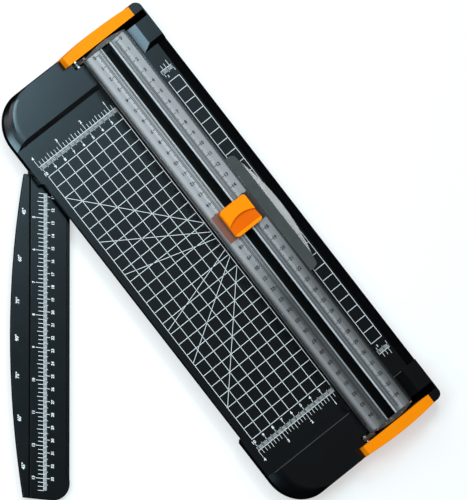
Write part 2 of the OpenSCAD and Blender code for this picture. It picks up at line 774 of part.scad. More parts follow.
module side_ruler() {
  color([0.12, 0.14, 0.16]) translate([-pivot_x, pivot_y, 0]) rotate([0, 0, -ruler_rest_deg])
    difference() {
      translate([0, 0, ruler_low_z]) linear_extrude(height = ruler_t) ruler_outline();
      block([-groove_line_x, -ruler_reach - over, ruler_z - groove_line_depth],
        [-groove_line_x + groove_line_w, -flange_start - groove_line_w, ruler_z + over]);
      block([ruler_side - edge_step_w, -ruler_reach + ruler_corner_r + edge_step_w,
        ruler_z - edge_step_depth], [ruler_side + over, -ruler_corner_r, ruler_z + over]);
      translate([0, 0, ruler_low_z - over])
        cylinder(h = ruler_t + 2 * over, r = ruler_hole_r, $fn = round_fn);
    }
}

// A ring about the ruler's pivot
module pivot_ring(z0, z1, outer_r, inner_r) {
  translate([-pivot_x, pivot_y, z0]) difference() {
    cylinder(h = z1 - z0, r = outer_r, $fn = round_fn);
    translate([0, 0, -over]) cylinder(h = z1 - z0 + 2 * over, r = inner_r, $fn = round_fn);
  }
}
module ruler_bush() { color([0.7, 0.68, 0.6]) pivot_ring(bush_low_z, pivot_boss_z, bush_r, bush_hole_r); }
module ruler_friction_washer() {
  color([0.3, 0.3, 0.3]) pivot_ring(pivot_boss_z - friction_t, pivot_boss_z, washer_r, bush_r + play);
}
module ruler_washer() {
  color([0.72, 0.72, 0.74]) pivot_ring(washer_low_z, bush_low_z, washer_r, bush_hole_r);
}
module ruler_screw() {
  color([0.7, 0.7, 0.72]) translate([-pivot_x, pivot_y, 0]) difference() {
    union() {
      translate([0, 0, washer_low_z - pivot_head_h])
        cylinder(h = pivot_head_h, r = pivot_head_r, $fn = round_fn);
      translate([0, 0, washer_low_z - thin])
        cylinder(h = pivot_screw_top_z - washer_low_z + thin, r = pivot_screw_r, $fn = round_fn);
    }
    for (a = [0, 90]) rotate([0, 0, a])
      block([-pivot_head_r, -driver_w / 2, washer_low_z - pivot_head_h - over],
        [pivot_head_r, driver_w / 2, washer_low_z - pivot_head_h + driver_depth]);
  }
}

base_shell();
cutting_strip();
end_cap_top();
end_cap_bottom();
cap_screws();
hinge_pin_top();
hinge_pin_bottom();
rubber_feet();
clear_rail_left();
clear_rail_right();
rail_end_top();
rail_end_bottom();
lift_tab();
pressing_strip_left();
pressing_strip_right();
carriage();
blade_guard();
cap_springs();
slider_cap();
blade_holder();
cutter_blade();
blade_screw();
side_ruler();
ruler_bush();
ruler_friction_washer();
ruler_washer();
ruler_screw();
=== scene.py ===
# %% [markdown]
# # A sliding paper cutter
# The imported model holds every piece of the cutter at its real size. This lesson gives the pieces
# their finish: moulded plastic, clear plastic, steel, rubber, and the scales printed on them.
# Everything is in metres. +Y runs along the cutting line, +X to the right and +Z up.
# The model is loaded first, and nothing in it is moved or resized.

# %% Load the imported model
import json
import math

import bmesh
import bpy
import numpy as np
from mathutils import Matrix, Vector


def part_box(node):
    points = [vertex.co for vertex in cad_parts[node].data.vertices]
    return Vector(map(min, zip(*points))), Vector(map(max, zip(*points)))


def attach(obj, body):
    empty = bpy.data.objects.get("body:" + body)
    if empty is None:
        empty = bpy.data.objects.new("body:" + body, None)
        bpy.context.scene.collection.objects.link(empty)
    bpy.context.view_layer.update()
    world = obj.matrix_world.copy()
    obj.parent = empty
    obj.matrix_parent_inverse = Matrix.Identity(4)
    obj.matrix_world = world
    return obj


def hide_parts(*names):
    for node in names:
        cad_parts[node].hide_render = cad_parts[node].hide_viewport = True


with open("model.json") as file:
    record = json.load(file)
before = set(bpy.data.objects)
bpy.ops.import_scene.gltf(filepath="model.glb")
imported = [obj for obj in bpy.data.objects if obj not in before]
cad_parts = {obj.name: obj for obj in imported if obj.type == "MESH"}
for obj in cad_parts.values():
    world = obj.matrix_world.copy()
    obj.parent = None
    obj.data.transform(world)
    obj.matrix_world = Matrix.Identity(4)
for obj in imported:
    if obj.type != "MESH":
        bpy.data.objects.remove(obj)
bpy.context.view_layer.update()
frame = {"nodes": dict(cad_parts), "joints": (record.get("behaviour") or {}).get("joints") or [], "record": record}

MM = 0.001
scene = bpy.context.scene

# %% [markdown]
# ## The camera
# The picture was taken from far away, so parallel lines stay parallel. A camera with a very long
# lens, standing well back, gives the same view and is still a normal camera. Its three directions
# and its scale were worked out from the printed grid, whose squares measure one centimetre.

# %% Camera
PICTURE_W, PICTURE_H = 467, 500
PIXELS_PER_M = 1323.1
ORIGIN_PIXEL = (236.0, 239.6)
TO_RIGHT = Vector((0.7005, -0.6119, 0.3672)).normalized()
TO_TOP = Vector((0.5551, 0.7906, 0.2585)).normalized()
TO_CAMERA = TO_RIGHT.cross(TO_TOP)
CAMERA_AWAY = 15.0
SENSOR_MM = 36.0


def make_camera():
    """A long lens looking at the point that falls in the middle of the picture."""
    right_px, down_px = PICTURE_W / 2 - ORIGIN_PIXEL[0], PICTURE_H / 2 - ORIGIN_PIXEL[1]
    aim = (TO_RIGHT * right_px - TO_TOP * down_px) / PIXELS_PER_M
    data = bpy.data.cameras.new("camera")
    data.sensor_width = SENSOR_MM
    data.lens = SENSOR_MM * CAMERA_AWAY * PIXELS_PER_M / PICTURE_H
    data.clip_end = 10 * CAMERA_AWAY
    camera = bpy.data.objects.new("camera", data)
    scene.collection.objects.link(camera)
    camera.rotation_mode = "QUATERNION"
    camera.rotation_quaternion = Matrix((TO_RIGHT, TO_TOP, TO_CAMERA)).transposed().to_quaternion()
    camera.location = aim + TO_CAMERA * CAMERA_AWAY
    scene.camera = camera
    return camera


camera = make_camera()
print("lens", round(camera.data.lens, 1), "mm at", CAMERA_AWAY, "m")

# %% [markdown]
# ## Shader maths as plain Python
# A material is a graph of nodes, and long graphs are hard to read. Here a small class wraps the
# output of a node, so that an expression such as `0.4 + 0.1 * grain` adds the Math nodes by itself.
# Every other node comes from one method, which sets the node's own settings before its inputs. A
# ramp's stops are such a setting. The output node is made last, when the shader is there to show.

# %% Shader helpers
class Wire:
    """The output of a node. Arithmetic on it adds Math nodes."""

    def __init__(self, graph, socket):
        self.graph, self.socket = graph, socket

    def math(self, operation, *values):
        return self.graph.node("ShaderNodeMath", {"operation": operation}, dict(enumerate(values)))

    def __add__(self, other):
        return self.math("ADD", self, other)

    def __mul__(self, other):
        return self.math("MULTIPLY", self, other)

    def __sub__(self, other):
        return self.math("SUBTRACT", self, other)

    def __rsub__(self, other):
        return self.math("SUBTRACT", other, self)

    __radd__ = __add__
    __rmul__ = __mul__

    def length(self):
        """The length of a vector."""
        return self.graph.node("ShaderNodeVectorMath", {"operation": "LENGTH"}, {0: self}, out="Value")

    def smooth(self, low, high):
        """0 below low, 1 above high, and a soft step between them."""
        inputs = {0: self, 1: low, 2: high}
        return self.graph.node("ShaderNodeMapRange", {"interpolation_type": "SMOOTHSTEP"}, inputs)


def grey(value):
    """An opaque grey."""
    return (value, value, value, 1)


def set_stops(steps, stops):
    """Write (place, value) stops into the steps of a colour ramp, which starts with two of them."""
    while len(steps) < len(stops):
        steps.new(1)
    for step, (place, value) in zip(steps, stops):
        step.position, step.color = place, grey(value)


class Graph:
    """The nodes of a material or of the world, which end in one output node."""

    def __init__(self, owner, output):
        owner.use_nodes = True
        self.tree, self.output = owner.node_tree, output
        self.tree.nodes.clear()

    def node(self, kind, settings=None, inputs=None, out=0):
        """Any node: its type, its settings, then the values or wires of its sockets."""
        node = self.tree.nodes.new(kind)
        for key, value in (settings or {}).items():
            if key == "stops":
                set_stops(node.color_ramp.elements, value)
            else:
                setattr(node, key, value)
        for key, value in (inputs or {}).items():
            if isinstance(value, Wire):
                self.tree.links.new(value.socket, node.inputs[key])
            else:
                node.inputs[key].default_value = value
        return Wire(self, node.outputs[out]) if node.outputs else None

    def ray(self, kind):
        """1 for one kind of ray and 0 for the others."""
        return self.node("ShaderNodeLightPath", out=kind)

    def seen(self):
        """1 for the camera's rays and for those that have passed through clear plastic."""
        through = self.ray("Is Transmission Ray")
        return through.math("MAXIMUM", through, self.ray("Is Camera Ray"))

    def show(self, shader):
        """End the graph in its output node."""
        self.node(self.output, {}, {"Surface": shader})


class Finish(Graph):
    """One material, with a Principled shader that the recipe fills in."""

    def __init__(self, name):
        self.material = bpy.data.materials.new(name)
        super().__init__(self.material, "ShaderNodeOutputMaterial")
        self.place = self.node("ShaderNodeTexCoord", out="Object")

    def stretched(self, scale, turn=(0, 0, 0)):
        """The place on the object, scaled differently along each axis."""
        return self.node("ShaderNodeMapping", {}, {"Vector": self.place, "Scale": scale, "Rotation": turn})

    def noise(self, size, detail=2.0, place=None, rough=0.5):
        """Noise whose grains are about size metres wide."""
        inputs = {"Vector": place or self.place, "Scale": 1 / size, "Detail": detail, "Roughness": rough}
        return self.node("ShaderNodeTexNoise", {}, inputs)

    def along(self, axis):
        """One coordinate of the place on the object, in metres."""
        return self.node("ShaderNodeSeparateXYZ", {}, {0: self.place}, out=axis)

    def mix(self, share, first, second, blend="MIX"):
        """A colour that goes from first to second."""
        settings = {"data_type": "RGBA", "blend_type": blend}
        return self.node("ShaderNodeMix", settings, {0: share, 6: first, 7: second}, out=2)

    def ramp(self, share, stops):
        """A grey that goes through (place, value) stops, evenly between each two of them."""
        return self.node("ShaderNodeValToRGB", {"stops": stops}, {"Fac": share})

    def bump(self, height, depth, strength=1.0):
        """A normal tilted by a height map whose full swing is depth metres."""
        return self.node("ShaderNodeBump", {}, {"Height": height, "Distance": depth, "Strength": strength})

    def principled(self, **inputs):
        """The surface shader; an underscore in a socket's name stands for a space."""
        named = {key.replace("_", " "): value for key, value in inputs.items()}
        self.show(self.node("ShaderNodeBsdfPrincipled", {}, named))
        return self.material


# %% [markdown]
# ## Moulded plastics
# A mould is etched so that the plastic comes out of it with a fine grain. The grain scatters the
# light, which is why a black base still shows a soft sheen. The grain is a bump, and slow noise
# changes the roughness a little, because no moulding is perfectly even. A duller, less glossy black
# is painted shade: it goes on faces that would otherwise mirror a lamp. The thumb scoop has a deeper
# orange than the caps, and the carriage inside the rail the deepest; both are painted shade.

# %% Black, strip, dark and orange plastic
GRAIN = 0.5 * MM
CLOUD = 38 * MM
SMOOTH, ETCHED, COARSE = 0.004 * MM, 0.01 * MM, 0.02 * MM


def moulded(name, dark, light, rough, grain_depth, specular=0.5, sheen=(1, 1, 1, 1)):
    """Plastic from an etched mould: slow colour changes, uneven roughness and a fine grain."""
    finish = Finish(name)
    slow = finish.noise(CLOUD, detail=3)
    fine = finish.noise(GRAIN, detail=2)
    rub = finish.noise(1, detail=4, place=finish.stretched((420, 60, 420), (0, 0, 0.6)))
    return finish.principled(
        Base_Color=finish.mix(slow.smooth(0.3, 0.7), dark, light),
        Roughness=rough - 0.04 + 0.05 * slow + 0.03 * rub,
        Specular_IOR_Level=specular,
        Specular_Tint=sheen,
        Normal=finish.bump(fine + 0.15 * rub, grain_depth),
    )


black_plastic = moulded("black_plastic", (0.0008, 0.0008, 0.0009, 1), (0.0013, 0.0013, 0.0014, 1), 0.26,
                        SMOOTH, sheen=(0.88, 0.95, 1.0, 1))
# Painted shade: a duller black with little gloss, for faces that would otherwise mirror a lamp.
black_painted_shade = moulded("black_painted_shade", grey(0.0008), grey(0.0012), 0.6, ETCHED, specular=0.05)
dark_plastic = moulded("dark_plastic", grey(0.012), grey(0.017), 0.6, COARSE)
orange_plastic = moulded("orange_plastic", (0.93, 0.228, 0.001, 1), (0.97, 0.246, 0.001, 1), 0.4,
                         SMOOTH, specular=0.05)
# Painted shade: the thumb scoop's deeper orange.
scoop_orange_painted_shade = moulded("scoop_orange_painted_shade", (0.70, 0.100, 0.0003, 1), (0.76, 0.114, 0.0005, 1), 0.4,
                      SMOOTH, specular=0.02)
# Painted shade: the deepest orange, for the carriage inside the rail.
carriage_orange_painted_shade = moulded("carriage_orange_painted_shade", (0.24, 0.036, 0.003, 1), (0.28, 0.046, 0.005, 1), 0.4,
                       SMOOTH, specular=0.1)
STRIP_CLOUD = 20 * MM
CUTS_FROM, CUTS_TO, CUT_DEPTH = 1.0 * MM, 3.2 * MM, 0.05 * MM


def make_strip_plastic():
    """Hard plastic that the blade runs on: fine cuts lie along the groove in its middle."""
    finish = Finish("strip_plastic")
    slow = finish.noise(STRIP_CLOUD, detail=3)
    from_line = finish.along(0).math("ABSOLUTE", finish.along(0))
    cuts = finish.noise(1, detail=5, place=finish.stretched((5200, 26, 5200)), rough=0.7)
    near_line = 1 - from_line.smooth(CUTS_FROM, CUTS_TO)
    return finish.principled(
        Base_Color=finish.mix(near_line * cuts.smooth(0.55, 0.75), grey(0.002), grey(0.02)),
        Roughness=0.36 + 0.08 * slow + 0.2 * near_line,
        Specular_IOR_Level=0.2,
        Normal=finish.bump(cuts * near_line, CUT_DEPTH),
    )


strip_plastic = make_strip_plastic()

# %% [markdown]
# ## Clear plastic
# The rail is a clear profile that looks milky in bands along it, more so at its far end. One picture
# can't tell haze in the plastic from light that is thrown about inside the profile, so all of it is
# made as haze here: the bands are partly haze and partly painted light. The paler far end is painted
# light, and the bright bands at the lips of the slot are painted highlights. Alpha says how much of
# what lies below a band hides, and the base colour how pale the band is at the far end and at the
# near end.
# The end pieces are painted dark for the shaded gap below them, beside an orange cap, with a few painted warm
# glints of that cap.
# The tab is thicker and frosted throughout: there the light passes by transmission.

# %% Clear plastic: the rail, its ends, the frosted tab and the bright edges of the slot
RAIL_LOW, RAIL_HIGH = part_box("clear_rail_left")[0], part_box("clear_rail_right")[1]
# Band: where it ends in millimetres from the cutting line, what it hides, its far and its near haze, with painted
# light in them.
RAIL_BANDS = {
    "left edge": (-19.8, 0.20, 0.28, 0.14),
    "left outer": (-15.8, 0.55, 0.54, 0.33),
    "left numbers": (-12.4, 0.55, 0.45, 0.22),
    "left line": (-11.2, 0.55, 0.64, 0.12),
    "left ticks": (-6.8, 0.55, 0.51, 0.11),
    "left groove": (-5.0, 0.30, 0.20, 0.08),
    "left lip": (-4.2, 0.55, 0.72, 0.34),
    "slot": (4.2, 0.55, 0.80, 0.50),
    "right lip": (5.1, 0.60, 0.90, 0.70),
    "right groove": (6.3, 0.32, 0.21, 0.13),
    "right ticks": (9.7, 0.55, 0.33, 0.23),
    "right line": (12.4, 0.55, 0.51, 0.44),
    "right numbers": (15.6, 0.55, 0.41, 0.24),
    "right outer": (19.2, 0.55, 0.41, 0.14),
    "right edge": (21.0, 0.20, 0.17, 0.05),
}
BLEND = 0.25      # the share of a band's width over which it fades at each side
NEAR_END_SHARE, FAR_END_SHARE = 0.4, 0.15
RAIL_TINT = (1.0, 0.94, 0.945, 1)
RAIL_CLOUD, TAB_CLOUD = 14 * MM, 11 * MM


def make_rail_plastic():
    """Clear plastic whose haze, with painted light, follows the bands across the rail."""
    finish = Finish("clear_plastic")
    low, width = RAIL_LOW.x, RAIL_HIGH.x - RAIL_LOW.x
    across = finish.along(0) * (1 / width) + (-low / width)
    ends, hides, far_haze_and_light, near_haze_and_light = np.array(list(RAIL_BANDS.values())).T
    starts = np.append(low / MM, ends[:-1])
    fade = BLEND * (ends - starts)
    places = np.column_stack((starts + fade, ends - fade)).ravel() * MM

    def bands(values):
        return finish.ramp(across, list(zip((places - low) / width, np.repeat(values, 2))))

    # The far end is paler than the near end: painted light.
    far = finish.along(1).smooth(NEAR_END_SHARE * RAIL_LOW.y, FAR_END_SHARE * RAIL_HIGH.y)
    uneven = finish.noise(RAIL_CLOUD, detail=3)
    haze = finish.mix(far, bands(near_haze_and_light), bands(far_haze_and_light))
    return finish.principled(
        Base_Color=finish.mix(1.0, haze, RAIL_TINT, blend="MULTIPLY"),
        Roughness=0.05 + 0.04 * uneven,
        Alpha=bands(hides),
    )


def make_end_plastic():
    """The ends of the rail: clear plastic painted dark for the shaded gap below, with painted glints of the orange
    cap beside it.
    """
    finish = Finish("clear_end")
    painted_glints = finish.noise(1, detail=3, place=finish.stretched((220, 900, 220)))
    return finish.principled(
        Base_Color=finish.mix(painted_glints.smooth(0.56, 0.68), (0.050, 0.046, 0.042, 1), (0.42, 0.19, 0.09, 1)),
        Roughness=0.06 + 0.04 * painted_glints,
        Alpha=0.85,
    )


def make_frosted(name, colour, through, rough):
    """Frosted clear plastic: a fine grain scatters whatever passes through it."""
    finish = Finish(name)
    haze = finish.noise(TAB_CLOUD, detail=3)
    grain = finish.noise(GRAIN, detail=2)
    return finish.principled(
        Base_Color=finish.mix(haze.smooth(0.3, 0.7), colour, tuple(0.9 * c for c in colour[:3]) + (1,)),
        Roughness=rough + 0.06 * haze,
        Transmission_Weight=through,
        IOR=1.49,
        Normal=finish.bump(grain, SMOOTH),
    )


clear_plastic = make_rail_plastic()
# The rail's ends: painted shade with painted glints.
clear_end = make_end_plastic()
frosted_tab = make_frosted("frosted_tab", (0.100, 0.100, 0.096, 1), 0.25, 0.14)
# Painted highlight: the frosted cut faces of the slot are near-white, so they show as thin white lines.
frosted_edge_painted_highlight = make_frosted("frosted_edge_painted_highlight", (0.93, 0.95, 0.97, 1), 0.05, 0.3)

# %% [markdown]
# ## Metal and rubber
# The metal pieces are small and mostly inside: hinge pins, screws, springs, a bush and the blade.
# Turned parts carry fine rings and drawn wire carries fine lines, so stretched noise changes their
# roughness. The rubber of the feet is matt, with a coarser grain than the plastic.

# %% Steel, blade, brass and rubber
METAL_CLOUD = 6 * MM
RUBBER_GRAIN, RUBBER_CLOUD, RUBBER_DEPTH = 0.9 * MM, 9 * MM, 0.05 * MM


def make_metal(name, colour, rough, stretch):
    """Bare metal with fine tool marks, stretched across one axis."""
    finish = Finish(name)
    marks = finish.noise(1, detail=4, place=finish.stretched(stretch))
    slow = finish.noise(METAL_CLOUD, detail=2)
    return finish.principled(
        Base_Color=finish.mix(slow, colour, tuple(0.86 * c for c in colour[:3]) + (1,)),
        Metallic=1.0,
        Roughness=rough + 0.16 * marks,
        Normal=finish.bump(marks, SMOOTH),
    )


steel = make_metal("steel", (0.62, 0.62, 0.64, 1), 0.2, (900, 900, 9000))
blade_steel = make_metal("blade_steel", (0.72, 0.73, 0.75, 1), 0.1, (600, 600, 12000))
brass = make_metal("brass", (0.71, 0.52, 0.22, 1), 0.22, (900, 900, 9000))


def make_rubber():
    """Matt rubber with a coarse grain."""
    finish = Finish("rubber")
    grain, slow = finish.noise(RUBBER_GRAIN, detail=3), finish.noise(RUBBER_CLOUD)
    return finish.principled(
        Base_Color=finish.mix(slow, grey(0.014), grey(0.022)),
        Roughness=0.78 + 0.12 * grain,
        Specular_IOR_Level=0.3,
        Normal=finish.bump(grain, RUBBER_DEPTH),
    )


rubber = make_rubber()

# %% [markdown]
# ## Ink
# The scales and the grid are screen printed. Ink lies on the plastic as a thin film, slightly
# uneven where the mesh of the screen left it thinner, so fine noise changes its colour a little.

# %% Inks
INK_MESH = 0.35 * MM


def make_ink(name, thin, full):
    """Matt ink that goes from thin to full cover."""
    finish = Finish(name)
    cover = finish.noise(INK_MESH, detail=3)
    return finish.principled(
        Base_Color=finish.mix(cover.smooth(0.25, 0.6), thin, full),
        Roughness=0.55 + 0.1 * cover,
        Specular_IOR_Level=0.2,
    )


white_ink = make_ink("white_ink", grey(0.68), (0.84, 0.82, 0.81, 1))
black_ink = make_ink("black_ink", grey(0.02), grey(0.008))

# %% [markdown]
# ## Rounded edges
# No moulded edge is perfectly sharp: each one has a small radius, which catches a thin line of
# light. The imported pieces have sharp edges. The plastic pieces that show, apart from the flat cutting
# strip, get a copy whose loose triangles are welded and whose flat faces are joined, and a Bevel
# modifier rounds it.
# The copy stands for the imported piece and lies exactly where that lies.

# %% Copies with rounded edges
RECORD = frame["record"]
BODY_OF = {n: body for body, nodes in RECORD["behaviour"]["bodies"].items() for n in nodes}
SLOT_OF = {entry["node"]: entry["material_slot"] for entry in RECORD["subparts"]}
WELD = 0.002 * MM
FLAT = math.radians(0.6)
EDGE = math.radians(13)


def rounded(node, radius, material, segments=2):
    """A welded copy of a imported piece, with every edge sharper than EDGE rounded by radius."""
    mesh = frame["nodes"][node].data.copy()
    mesh.name = node + "_moulded"
    shape = bmesh.new()
    shape.from_mesh(mesh)
    bmesh.ops.remove_doubles(shape, verts=shape.verts, dist=WELD)
    bmesh.ops.dissolve_limit(shape, angle_limit=FLAT, verts=shape.verts, edges=shape.edges)
    shape.to_mesh(mesh)
    shape.free()
    mesh.materials.clear()
    mesh.materials.append(material)
    mesh.shade_smooth()
    piece = bpy.data.objects.new(node + "_moulded", mesh)
    scene.collection.objects.link(piece)
    bevel = piece.modifiers.new("round", "BEVEL")
    bevel.width, bevel.segments = radius, segments
    bevel.limit_method, bevel.angle_limit = "ANGLE", EDGE
    flat = piece.modifiers.new("flat", "WEIGHTED_NORMAL")
    flat.mode, flat.weight = "FACE_AREA", 100
    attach(piece, BODY_OF[node])
    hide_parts(node)
    print(piece.name, len(mesh.polygons), "faces, rounded by", round(radius / MM, 2), "mm")
    return piece


base = rounded("base_shell", 0.5 * MM, black_plastic)
ruler = rounded("side_ruler", 0.35 * MM, black_plastic)
for end in ("top", "bottom"):
    rounded(f"end_cap_{end}", 0.6 * MM, orange_plastic)
cap = rounded("slider_cap", 0.45 * MM, orange_plastic, segments=3)
# The carriage gets the orange with the deepest painted shade.
rounded("carriage", 0.3 * MM, carriage_orange_painted_shade)
rails = [rounded(f"clear_rail_{side}", 0.2 * MM, clear_plastic) for side in ("left", "right")]
for end in ("top", "bottom"):
    rounded(f"rail_end_{end}", 0.4 * MM, clear_end)
rounded("lift_tab", 0.3 * MM, frosted_tab)

# %% [markdown]
# Some faces of these pieces have a finish of their own, which paints shade or a highlight. The cut
# faces along the rail's slot are frosted and painted near-white, a painted highlight that shows as
# thin white lines. The thumb scoop in the orange cap gets a deeper orange, which is painted shade.
# The floors of the base's cross slots, the slope of its near block and the groove of the ruler get a
# duller black, which is painted shade. Each mask is computed at once over the middles of all the
# faces, and a part of a normal says which way they look: a level floor has a z near 1.

# %% Faces with their own finish: painted shade and painted highlights
def faces_of(piece):
    """The middles and the normals of all the faces of a piece, as two arrays."""
    polygons = piece.data.polygons
    middles, normals = np.empty((2, len(polygons), 3))
    polygons.foreach_get("center", middles.ravel())
    polygons.foreach_get("normal", normals.ravel())
    return middles, normals


def refinish(piece, picked, material):
    """Give the picked faces of a piece another material."""
    piece.data.materials.append(material)
    slots = np.zeros(len(piece.data.polygons), dtype=np.int32)
    slots[picked] = len(piece.data.materials) - 1
    piece.data.polygons.foreach_set("material_index", slots)
    print(piece.name, int(np.count_nonzero(picked)), "faces in", material.name)


def between(values, low, high):
    """True where a value lies between two limits."""
    return (values > low) & (values < high)


RAIL_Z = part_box("rail_end_top")[1].z
DECK_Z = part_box("cutting_strip")[1].z
TILTED = 0.5
CLEAR = 0.1 * MM
SLOT_EDGE = 2.5 * MM
SCOOP_DEPTH, SCOOP_INSET, NOT_DOWNWARDS = 2.4 * MM, 0.5 * MM, -0.1
CROSS_SLOT_DEPTH, GROOVE_DEPTH = (2 * MM, 9 * MM), (0.7 * MM, 0.9 * MM)
NEAR_BLOCK_X, NEAR_BLOCK_Y, SLOPE_TILT = 20 * MM, -150 * MM, -0.3

slot_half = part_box("clear_rail_right")[0].x
for rail in rails:
    middles, normals = faces_of(rail)
    on_slot = (np.abs(middles[:, 0]) < slot_half + CLEAR) & (middles[:, 2] > RAIL_Z - SLOT_EDGE)
    # The slot's cut faces get the near-white painted highlight.
    refinish(rail, on_slot & (np.abs(normals[:, 0]) > TILTED), frosted_edge_painted_highlight)

middles, normals = faces_of(cap)
cap_low, cap_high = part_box("slider_cap")
inside = between(middles[:, 0], cap_low.x + SCOOP_INSET, cap_high.x - SCOOP_INSET)
scooped = between(cap_high.z - middles[:, 2], CLEAR, SCOOP_DEPTH) & (normals[:, 2] > NOT_DOWNWARDS)
# The scoop's faces get the deeper orange: painted shade.
refinish(cap, inside & scooped, scoop_orange_painted_shade)

middles, normals = faces_of(base)
beyond_rail = np.abs(middles[:, 1]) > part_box("rail_end_top")[0].y
in_slot = beyond_rail & between(DECK_Z - middles[:, 2], *CROSS_SLOT_DEPTH) & (normals[:, 2] > TILTED)
at_block = (middles[:, 0] > NEAR_BLOCK_X) & (middles[:, 1] < NEAR_BLOCK_Y)
# The cross slots' floors and the near block's slope get a duller black: painted shade.
refinish(base, in_slot | (at_block & (normals[:, 0] < SLOPE_TILT)), black_painted_shade)

middles, normals = faces_of(ruler)
in_groove = between(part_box("side_ruler")[1].z - middles[:, 2], *GROOVE_DEPTH)
# The ruler's groove gets a duller black: painted shade.
refinish(ruler, in_groove & (normals[:, 2] > TILTED), black_painted_shade)

# %% [markdown]
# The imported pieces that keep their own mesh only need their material. The record says which
# finish each one has, so a loop over the record does it.

# %% Materials on the pieces that keep their mesh
FINISHES = {
    "black_plastic": black_plastic, "strip_plastic": strip_plastic, "orange_plastic": orange_plastic,
    "clear_plastic": clear_plastic, "dark_plastic": dark_plastic, "rubber": rubber,
    "steel": steel, "blade_steel": blade_steel, "brass": brass,
}
for node, slot in SLOT_OF.items():
    mesh = frame["nodes"][node].data
    mesh.materials.clear()
    mesh.materials.append(FINISHES[slot])
print("finished", len(SLOT_OF), "packed pieces")

# %% [markdown]
# ## Printed lines and numbers
# A printed scale is many short strokes and some numbers. Each stroke is a thin flat box along a
# straight segment, and all the boxes of a print are computed at once as arrays. Numbers are text
# turned into a mesh. A print lies on its surface as a film a few hundredths of a millimetre high.

# %% Strokes and numbers as meshes
FILM = 0.03 * MM
SUNK = 0.01 * MM
BOX_FACES = np.array([(3, 2, 1, 0), (4, 5, 6, 7), (0, 1, 5, 4), (1, 2, 6, 5), (2, 3, 7, 6), (3, 0, 4, 7)])


def strokes(segments, width):
    """Flat boxes along segments. A corner is the segment's end, plus half the width to either side."""
    ends = np.asarray(segments, float).reshape(-1, 2, 2)
    run = ends[:, 1] - ends[:, 0]
    aside = np.stack([-run[:, 1], run[:, 0]], 1) / np.linalg.norm(run, axis=1)[:, None] * width / 2
    corners = np.stack([ends[:, 0] - aside, ends[:, 1] - aside, ends[:, 1] + aside, ends[:, 0] + aside], 1)
    levels = np.broadcast_to(np.array([-SUNK, FILM])[None, :, None, None], (len(ends), 2, 4, 1))
    flat = np.broadcast_to(corners[:, None], (len(ends), 2, 4, 2))
    points = np.concatenate([flat, levels], 3).reshape(-1, 3)
    faces = (np.arange(len(ends))[:, None, None] * 8 + BOX_FACES).reshape(-1, 4)
    return points, faces.tolist()


BOLD = 0.03
lettering_made = {}


def lettering(words):
    """Text as a closed mesh one unit high, centred on its own box."""
    if words not in lettering_made:
        curve = bpy.data.curves.new("words", "FONT")
        curve.body, curve.extrude, curve.resolution_u = words, 0.5, 3
        curve.offset = BOLD
        text = bpy.data.objects.new("words", curve)
        mesh = bpy.data.meshes.new_from_object(text)
        shape = bmesh.new()
        shape.from_mesh(mesh)
        bmesh.ops.remove_doubles(shape, verts=shape.verts, dist=1e-5)
        shape.to_mesh(mesh)
        points = np.empty(len(mesh.vertices) * 3)
        mesh.vertices.foreach_get("co", points)
        points = points.reshape(-1, 3)
        low, high = points.min(0), points.max(0)
        points[:, :2] = (points[:, :2] - (low + high)[:2] / 2) / (high - low)[1]
        lettering_made[words] = points, [list(p.vertices) for p in mesh.polygons]
        shape.free()
        bpy.data.meshes.remove(mesh)
        bpy.data.objects.remove(text)
        bpy.data.curves.remove(curve)
    return lettering_made[words]


def number_at(words, x, y, height, turn_deg=0):
    """The words at a place on the sheet, turned and scaled."""
    points, faces = lettering(words)
    a = math.radians(turn_deg)
    flat = points[:, :2] @ np.array([[math.cos(a), math.sin(a)], [-math.sin(a), math.cos(a)]]) * height
    level = (points[:, 2:] + 0.5) * (FILM + SUNK) - SUNK
    return np.concatenate([flat + (x, y), level], 1), faces


def print_piece(name, parts, sheet, ink, body):
    """One piece from many strokes and numbers. sheet takes the flat drawing to its place."""
    points, faces, start = [], [], 0
    for part_points, part_faces in parts:
        points.append(part_points)
        faces += [[i + start for i in face] for face in part_faces]
        start += len(part_points)
    placed = np.concatenate(points) @ np.array(sheet.to_3x3().transposed()) + np.array(sheet.translation)
    mesh = bpy.data.meshes.new(name)
    mesh.from_pydata(placed.tolist(), [], faces)
    mesh.materials.append(ink)
    piece = bpy.data.objects.new(name, mesh)
    scene.collection.objects.link(piece)
    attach(piece, body)
    print(name, len(faces), "faces")
    return piece


# %% [markdown]
# ## The grid on the deck
# The deck carries a grid of one-centimetre squares, 25 rows long, from ten to two centimetres left
# of the cutting line, and one column of it right of the line. Six lines fan out from a point on
# the cutting line, for cuts at an angle. They are cut off at the two sides of the grid.

# %% Grid and fan
CM = 10 * MM
INCH = 25.4 * MM
DECK = Matrix.Translation((0, 0, DECK_Z))
GRID_LEFT, GRID_RIGHT, GRID_HALF = -10 * CM, -2 * CM, 12.5 * CM
COLUMN_LEFT, COLUMN_RIGHT = 2.88 * CM, 4 * CM
LINE_W, FINE_W = 0.42 * MM, 0.3 * MM
FAN_Y, FAN_DEGREES = 0.5 * CM, (-45, -30, -15, 15, 30, 45)
FAN_W = 0.9 * LINE_W
ROWS = round(2 * GRID_HALF / CM)


def grid_lines(left, right, columns):
    """Upright lines at the given places, and a line across every centimetre."""
    upright = [((x, -GRID_HALF - LINE_W / 2), (x, GRID_HALF + LINE_W / 2)) for x in columns]
    rows = np.linspace(-GRID_HALF, GRID_HALF, ROWS + 1)
    return upright + [((left, y), (right, y)) for y in rows]


def fan_lines():
    """Straight lines from the fan's point on the cutting line, between the sides of the grid."""
    slopes = [-math.tan(math.radians(a)) for a in FAN_DEGREES]
    return [tuple((x, FAN_Y + s * x) for x in (GRID_RIGHT, GRID_LEFT)) for s in slopes]


